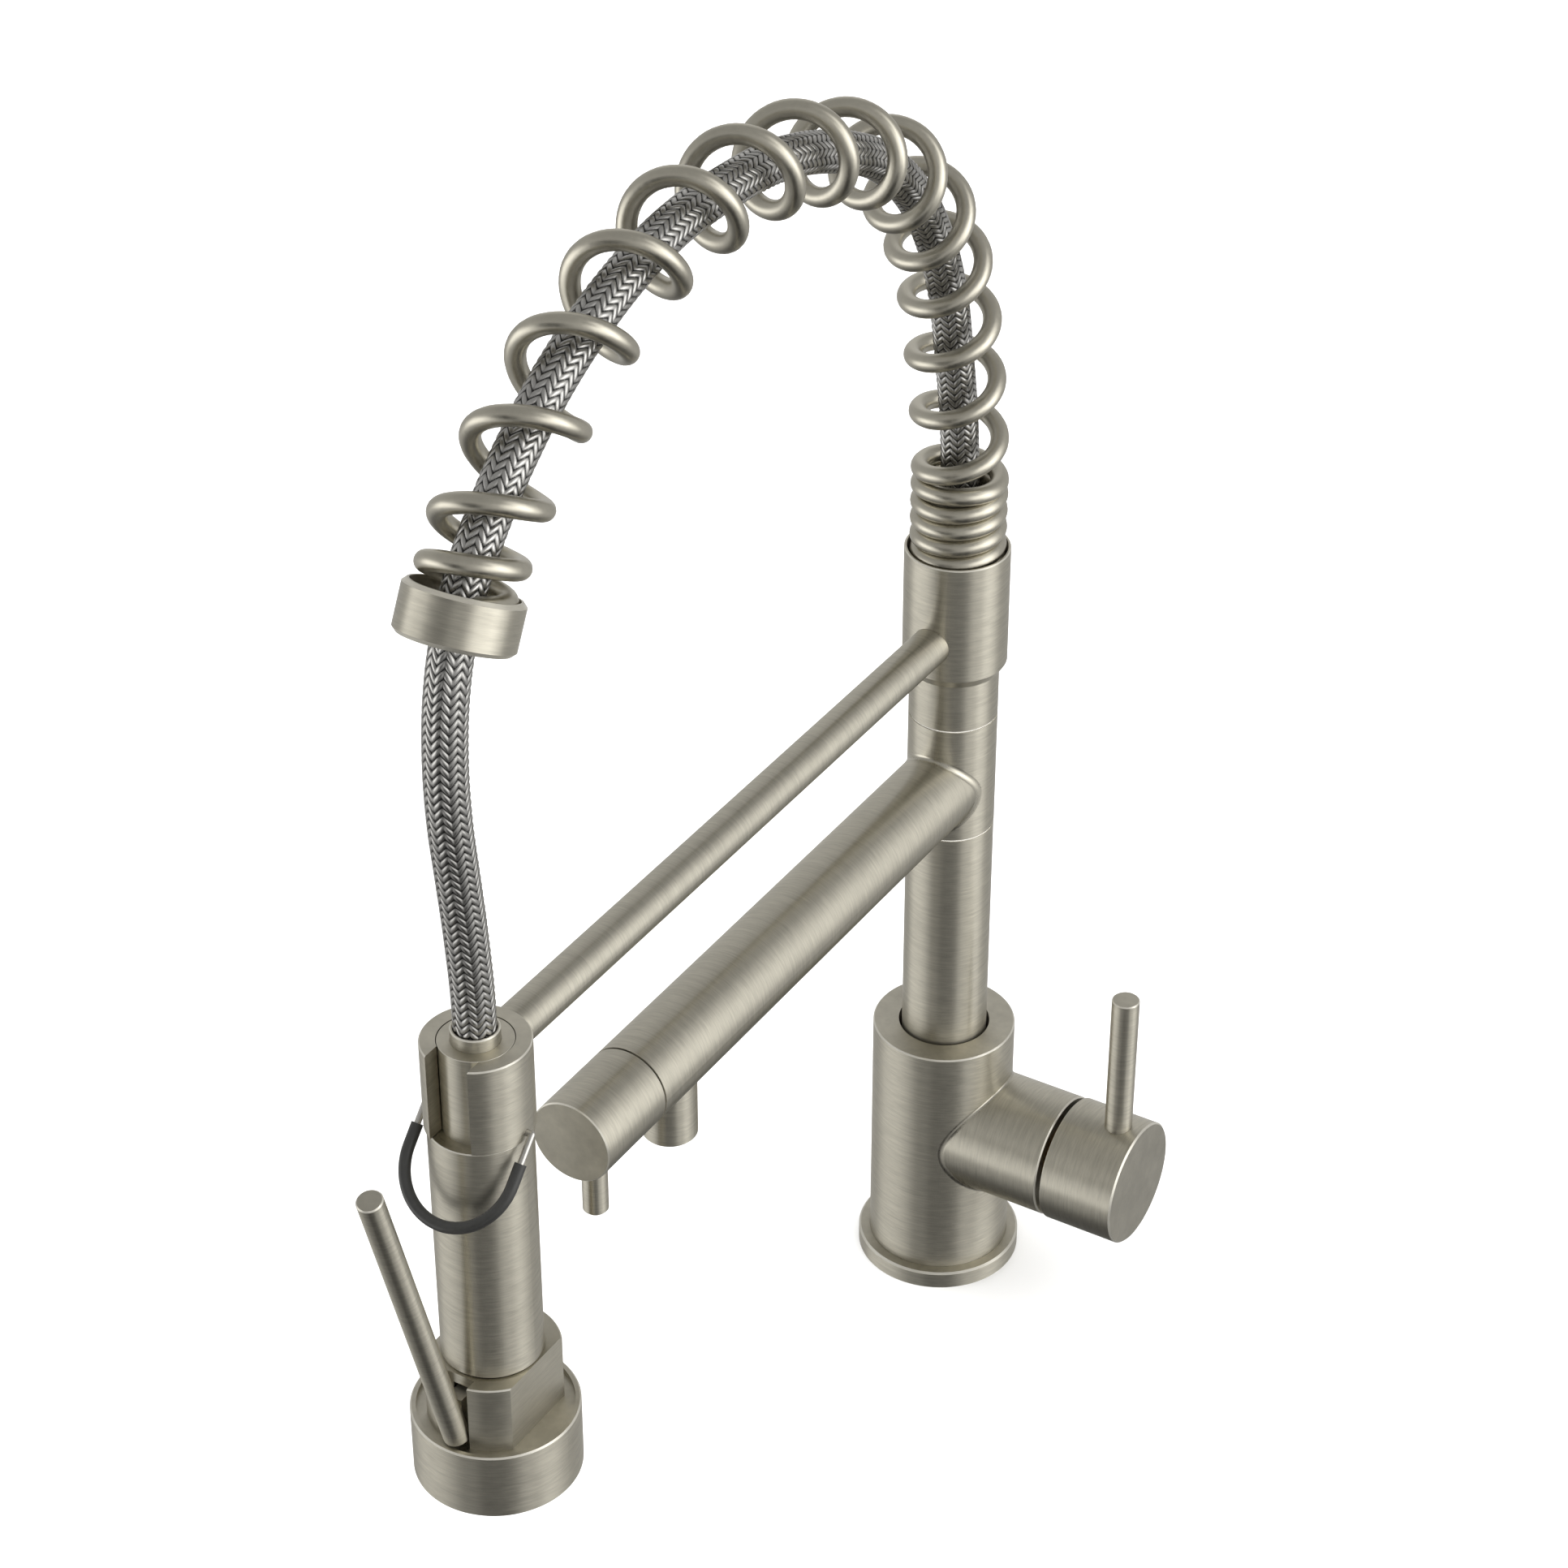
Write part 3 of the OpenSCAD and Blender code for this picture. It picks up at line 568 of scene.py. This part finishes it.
def meeting_line(through_radius, side_radius):
    """Where a side tube that leaves along +X meets an upright tube on the Z axis, with the
    side tube's axis at height 0: points, upright normals and side normals."""
    turn = 2 * np.pi * np.arange(FILLET_ROWS) / FILLET_ROWS
    y, z = side_radius * np.sin(turn), side_radius * np.cos(turn)
    x = np.sqrt(through_radius ** 2 - y ** 2)
    none = np.zeros_like(x)
    points = np.column_stack([x, y, z])
    upright = np.column_stack([x, y, none]) / through_radius
    side = np.column_stack([none, y, z]) / side_radius
    return points, upright, side


def weld(name, body, at, turn, through_radius, side_radius, size):
    """Fillet between an upright tube and a side tube, turned from +X by the matrix."""
    points, upright, side = (line @ turn for line in meeting_line(through_radius, side_radius))
    fillet = make_fillet(name, points + np.array(at), upright, side, size)
    dress(fillet, weld_metal)
    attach(fillet, body)


AS_DRAWN = np.eye(3)
X_TO_BACKWARD_Y = np.array([[0, -1, 0], [1, 0, 0], [0, 0, 1]])
weld_metal = satin("welded_nickel", NICKEL, 0.3)
weld("branch_fillet", "base", (0, 0, branch_height), AS_DRAWN, body_radius, branch_radius,
     BRANCH_FILLET)
weld("hub_fillet", "spout", (0, 0, spout_height), X_TO_BACKWARD_Y, hub_radius, spout_radius,
     HUB_FILLET)

# ---------------------------------------------------------------- floor and light

floor = add_mesh("floor", [(-9, -9, 0), (9, -9, 0), (9, 9, 0), (-9, 9, 0)], [(0, 1, 2, 3)])
paper = Tree("pale_floor")
paper.shader.inputs["Roughness"].default_value = 0.9
paper.shader.inputs["Specular IOR Level"].default_value = 0.0
paper.feed(paper.shader.inputs["Base Color"],
           paper.mix_colour(paper.noise(paper.place, 3.0), (0.88, 0.88, 0.875, 1), (0.9, 0.9, 0.895, 1)))
dress(floor, paper.material)
floor.visible_glossy = False


def studio(patches, base, ceiling, under, soft=10.0):
    """A room of soft light: an even level with bright and dark patches on its walls. Turns
    are degrees round to the right of the camera's side and rises degrees above the horizon."""
    world = bpy.data.worlds.new("studio")
    bpy.context.scene.world = world
    world.use_nodes = True
    tree = world.node_tree
    background = tree.nodes["Background"]

    def math_node(operation, *values):
        made = tree.nodes.new("ShaderNodeMath")
        made.operation = operation
        for socket, value in zip(made.inputs, values):
            if isinstance(value, bpy.types.NodeSocket):
                tree.links.new(value, socket)
            else:
                socket.default_value = value
        return made.outputs["Value"]

    def ramp(value, low, high, to_low, to_high):
        made = tree.nodes.new("ShaderNodeMapRange")
        made.interpolation_type = "SMOOTHSTEP"
        tree.links.new(value, made.inputs["Value"])
        for key, number in (
            ("From Min", low), ("From Max", high), ("To Min", to_low), ("To Max", to_high),
        ):
            made.inputs[key].default_value = number
        return made.outputs["Result"]

    view = tree.nodes.new("ShaderNodeSeparateXYZ")
    tree.links.new(tree.nodes.new("ShaderNodeTexCoord").outputs["Generated"], view.inputs[0])
    east, north, height = view.outputs
    bearing = math_node("ARCTAN2", east, math_node("MULTIPLY", north, -1.0))
    bearing = math_node("SUBTRACT", math_node("DEGREES", bearing), CAMERA_TURN)
    rise = math_node("DEGREES", math_node("ARCSINE", height))

    def inside(offset, half):
        return ramp(math_node("ABSOLUTE", offset), half - soft, half + soft, 1, 0)

    level = math_node("ADD", base, ramp(height, 0.35, 0.8, 0, ceiling - base))
    level = math_node("ADD", level, ramp(height, -0.6, -0.95, 0, under - base))
    for patch_turn, patch_rise, half_turn, half_rise, strength in patches:
        turn_away = math_node("WRAP", math_node("SUBTRACT", bearing, patch_turn), 180.0, -180.0)
        rise_away = math_node("SUBTRACT", rise, patch_rise)
        patch = math_node("MULTIPLY", inside(turn_away, half_turn), inside(rise_away, half_rise))
        level = math_node("ADD", level, math_node("MULTIPLY", patch, strength))
    level = math_node("MAXIMUM", level, 0.03)
    tree.links.new(level, background.inputs["Strength"])
    background.inputs["Color"].default_value = (1, 0.995, 0.98, 1)


# Soft boxes and dark cards round the faucet: turn, rise, half turn, half rise, strength
SOFT_BOX_RIGHT = (75, 15, 17, 40, 1.2)
SOFT_BOX_FRONT_RIGHT = (50, 10, 25, 20, 1.4)
LOW_BOX_LEFT = (-75, -10, 30, 15, 1.5)
WALL_BEHIND = (180, 0, 20, 45, 0.2)
CARD_BELOW = (5, -50, 25, 25, -0.65)
CARD_FRONT_LEFT = (-40, 0, 20, 15, -1.2)
studio(
    [SOFT_BOX_RIGHT, SOFT_BOX_FRONT_RIGHT, LOW_BOX_LEFT, WALL_BEHIND, CARD_BELOW, CARD_FRONT_LEFT],
    base=0.48, ceiling=0.37, under=0.1,
)


OVERHEAD_AT = (0.4, -0.3, 2.6)
overhead = bpy.data.objects.new("overhead", bpy.data.lights.new("overhead", "AREA"))
overhead.data.size = 6.0
overhead.data.energy = 260
overhead.location = OVERHEAD_AT
overhead.rotation_euler = (-Vector(OVERHEAD_AT)).to_track_quat("-Z", "Y").to_euler()
overhead.visible_glossy = False
bpy.context.scene.collection.objects.link(overhead)

bpy.context.scene.view_settings.view_transform = "Standard"
